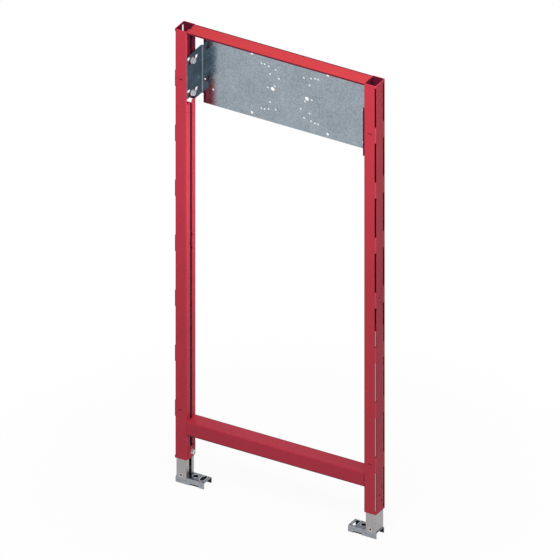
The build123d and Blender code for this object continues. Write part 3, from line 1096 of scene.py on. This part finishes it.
@dataclass
class LegAndFoot:
    """Telescopic leg of one side with its rivet, and the foot that it is welded to."""

    side: Side
    lip: float = 11.9 * MM
    margin: float = 5 * MM
    bead_radius: float = 1.0 * MM
    tongue_length: float = 4 * MM
    tongue_width: float = 6 * MM
    tongue_height: float = 8 * MM
    hole_from_end: float = 29.8 * MM
    hole_radius: float = 6.5 * MM
    slot_from_end: float = 11 * MM
    slot_radius: float = 5.5 * MM
    slot_straight: float = 13 * MM
    rim_width: float = 1.5 * MM
    rim_height: float = 0.9 * MM

    def rims(self) -> None:
        """Make the raised rims on the foot's web, round its hole and its slot."""
        low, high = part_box(self.side.node("foot"))
        end = self.side.inner_x(low, high)
        berth = Berth(self.side.foot_body, Slot.SHEET, RIM)
        for name, from_end, radius, straight in (
            ("floor_hole_rim", self.hole_from_end, self.hole_radius, 0.0),
            ("floor_slot_rim", self.slot_from_end, self.slot_radius, self.slot_straight),
        ):
            ring = Shapes.rim(radius, self.rim_width, self.rim_height, straight)
            place = Vector((end - self.side.inward * from_end, (low.y + high.y) / 2, high.z))
            berth.settle(Shapes.joined(self.side.node(name), [ring], Matrix.Translation(place)))

    def tongues(self) -> None:
        """Make the two tongues of the pad, which close the notches of the foot from within."""
        low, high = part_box(self.side.node("foot_pad"))
        end = self.side.inner_x(low, high)
        x = sorted((end, end + self.side.inward * self.tongue_length))
        berth = Berth(self.side.foot_body, Slot.PAD, PAD)
        for edge, y in (("front", low.y), ("back", high.y - self.tongue_width)):
            berth.block(
                self.side.node(f"foot_pad_{edge}_tongue"),
                (x[0], y, low.z),
                (x[1], y + self.tongue_width, low.z + self.tongue_height),
            )

    def beads(self) -> list[WeldBead]:
        """Beads on the foot's web, in front of each lip of the leg.

        Returns:
            The beads, not built yet.
        """
        low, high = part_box(self.side.node("leg"))
        x = self.side.inner_x(low, high)
        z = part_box(self.side.node("foot"))[1].z
        starts = {"front": low.y + self.margin, "back": high.y - self.lip}
        length = self.lip - self.margin
        berth = Berth(self.side.foot_body, Slot.SHEET, FOOT)
        return [
            WeldBead(self.side.node(f"leg_{lip}_weld"), Vector((x, y, z)), length, berth, self.bead_radius)
            for lip, y in starts.items()
        ]

    def build(self) -> None:
        """Dress the solids, make the rivet, tongues and rims, and weld the leg to its foot."""
        dress(self.side.node("leg"), TUBE)
        dress(self.side.node("foot"), FOOT)
        dress(self.side.node("foot_pad"), PAD)
        dress(self.side.node("leg_rivet"), BOLT)
        LegRivet(self.side).build()
        self.tongues()
        self.rims()
        for bead in self.beads():
            bead.build()


@dataclass
class LegClamp:
    """Bolt and nut that hold the leg of one side in its post."""

    side: Side

    def build(self) -> None:
        """Dress the solids and make the bolt."""
        dress(self.side.node("clamp_nut"), BOLT)
        node = self.side.node("clamp_bolt")
        dress(node, BOLT)
        HexBolt(
            node, self.side, diameter=6 * MM, pitch=1 * MM, across=10 * MM, head=4 * MM,
            washer=12 * MM, washer_thickness=1.2 * MM,
        ).build()


@dataclass
class SlideBolts:
    """Bolts, channel nuts and stop clips of the plate on one side."""

    side: Side
    clip_depth: float = 8 * MM
    clip_height: float = 4.6 * MM
    clip_thickness: float = 1 * MM
    clip_rise: float = 8.8 * MM

    def clip(self, level: str) -> None:
        """Make the clip on the front edge of the plate's side, above a bolt's slot.

        Args:
            level: Which of the two bolts it belongs to, lower or upper.
        """
        bolt_low, bolt_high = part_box(self.side.node(f"{level}_plate_bolt"))
        low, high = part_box("mounting_plate")
        inner = self.side.outer_x(low, high) + self.side.inward * PLATE_SHEET
        bottom = (bolt_low.z + bolt_high.z) / 2 + self.clip_rise
        x = sorted((inner, inner + self.side.inward * self.clip_thickness))
        Berth("plate_carriage", Slot.BOLT, CLIP).block(
            self.side.node(f"{level}_stop_clip"),
            (x[0], low.y, bottom),
            (x[1], low.y + self.clip_depth, bottom + self.clip_height),
        )

    def build(self) -> None:
        """Dress the solids and make the bolts and clips."""
        for level in ("lower", "upper"):
            dress(self.side.node(f"{level}_channel_nut"), BOLT)
            node = self.side.node(f"{level}_plate_bolt")
            dress(node, BOLT)
            HexBolt(
                node, self.side, diameter=8 * MM, pitch=1.25 * MM, across=12 * MM, head=5.3 * MM,
                washer=15 * MM, washer_thickness=1.6 * MM,
            ).build()
            self.clip(level)


@dataclass
class PlateCarriage:
    """The perforated plate, with the lower front corner of its right side."""

    corner_bottom: float = 944.5 * MM
    corner_height: float = 14 * MM
    corner_depth: float = 32 * MM
    corner_bevel: float = 0.1 * MM

    def corner(self) -> None:
        """Make the corner, which fills the cut in the sheet."""
        low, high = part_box("mounting_plate")
        Berth("plate_carriage", Slot.SHEET, PLATE).block(
            "right_side_corner",
            (high.x - PLATE_SHEET, low.y, self.corner_bottom),
            (high.x, low.y + self.corner_depth, self.corner_bottom + self.corner_height),
            self.corner_bevel,
        )

    def build(self) -> None:
        """Dress the solid and make the corner."""
        self.corner()
        dress("mounting_plate", PLATE)


@dataclass(frozen=True)
class Lamp:
    """Square soft lamp that neither the camera nor a reflection shows, in metres and watts."""

    name: str
    place: Place
    aim: Place
    size: float
    power: float
    tint: Colour = WHITE

    def hang(self) -> None:
        """Hang the lamp, turned to its aim."""
        light = bpy.data.lights.new(self.name, "AREA")
        light.size = self.size
        light.energy = self.power
        light.color = self.tint
        lamp = bpy.data.objects.new(self.name, light)
        lamp.location = self.place
        lamp.rotation_euler = (Vector(self.aim) - Vector(self.place)).to_track_quat("-Z", "Y").to_euler()
        lamp.visible_camera = False
        lamp.visible_glossy = False
        bpy.context.scene.collection.objects.link(lamp)


LAMPS = (
    Lamp("key", place=(0.7, -1.15, 2.1), aim=(0.3, 0.0, 1.0), size=0.8, power=31.0, tint=WARM),
    Lamp("side", place=(1.3, -0.4, 1.75), aim=(0.47, 0.0, 0.95), size=0.6, power=4.4),
    Lamp("overhead", place=(0.235, 0.0, 1.8), aim=(0.235, 0.0, 1.0), size=0.9, power=3.6, tint=WARM),
    Lamp("between", place=(0.40, -0.12, 0.80), aim=(0.0, -0.12, 0.80), size=0.3, power=1.4),
)


@dataclass
class Studio:
    """Pale floor, soft light and the camera."""

    middle: Vector
    azimuth: float = math.radians(30)
    elevation: float = math.radians(30)
    view_height: float = 1.204
    distance: float = 4.0
    floor_size: float = 9.0
    paper: Colour = (0.88, 0.88, 0.88)
    shadow_share: float = 0.06
    fade_start: float = 0.3
    fade_end: float = 0.9
    sky_strength: float = 0.22
    sky_tint: Colour = (0.97, 0.94, 1.15)

    def floor_material(self) -> bpy.types.Material:
        """White paper that keeps a faint shadow near the frame and fades into the background.

        Returns:
            A new material.
        """
        material = bpy.data.materials.new("pale floor")
        material.use_nodes = True
        kit = NodeKit(material.node_tree)
        shift = (-self.middle.x, -self.middle.y, 0.0)
        coordinates = kit.node("ShaderNodeTexCoord", output="Object")
        around = kit.node("ShaderNodeMapping", None, {"Vector": coordinates, "Location": shift})
        radius = kit.node("ShaderNodeVectorMath", {"operation": "LENGTH"}, {0: around}, output="Value")
        fade = {
            "Value": radius, "From Min": self.fade_start, "From Max": self.fade_end,
            "To Min": self.shadow_share, "To Max": 0.0,
        }
        near = kit.node("ShaderNodeMapRange", {"interpolation_type": "SMOOTHSTEP"}, fade)
        paper = kit.node("ShaderNodeBsdfDiffuse", None, {"Color": opaque(self.paper)})
        white = kit.node("ShaderNodeEmission", None, {"Color": opaque(WHITE), "Strength": 1.0})
        surface = kit.node("ShaderNodeMixShader", None, {0: kit.seen() * (1 - near), 1: paper, 2: white})
        kit.node("ShaderNodeOutputMaterial", None, {"Surface": surface})
        return material

    def floor(self) -> None:
        """Lay the floor."""
        grid = bmesh.new()
        bmesh.ops.create_grid(grid, x_segments=1, y_segments=1, size=self.floor_size)
        mesh = bpy.data.meshes.new("floor")
        grid.to_mesh(mesh)
        grid.free()
        floor = bpy.data.objects.new("floor", mesh)
        bpy.context.scene.collection.objects.link(floor)
        mesh.materials.append(self.floor_material())

    def sky(self) -> None:
        """Set up the white background and the soft light from all round."""
        world = bpy.data.worlds.new("studio")
        world.use_nodes = True
        bpy.context.scene.world = world
        kit = NodeKit(world.node_tree)
        seen = kit.seen()
        colour = kit.blend(seen, opaque(self.sky_tint), opaque(WHITE))
        strength = self.sky_strength + (1.0 - self.sky_strength) * seen
        light = kit.node("ShaderNodeBackground", None, {"Color": colour, "Strength": strength})
        kit.node("ShaderNodeOutputWorld", None, {"Surface": light})

    def camera(self) -> None:
        """Set up the camera, which looks down from the front right."""
        data = bpy.data.cameras.new("camera")
        data.type = "ORTHO"
        data.ortho_scale = self.view_height
        back = Vector((
            math.sin(self.azimuth) * math.cos(self.elevation),
            -math.cos(self.azimuth) * math.cos(self.elevation),
            math.sin(self.elevation),
        ))
        camera = bpy.data.objects.new("camera", data)
        camera.location = self.middle + back * self.distance
        camera.rotation_euler = (-back).to_track_quat("-Z", "Y").to_euler()
        bpy.context.scene.collection.objects.link(camera)
        bpy.context.scene.camera = camera

    def build(self) -> None:
        """Set up the whole studio."""
        bpy.context.scene.view_settings.view_transform = "Standard"
        self.floor()
        self.sky()
        for lamp in LAMPS:
            lamp.hang()
        self.camera()


def main() -> None:
    """Build every sub-assembly in order, then the studio."""
    logging.basicConfig(level=logging.INFO, format="%(name)s: %(message)s")
    Carcass().build()
    PlateCarriage().build()
    for side in Side:
        LegAndFoot(side).build()
        LegClamp(side).build()
        SlideBolts(side).build()
    Studio(middle=Vector(VIEW_MIDDLE)).build()


if __name__ == "__main__":
    main()
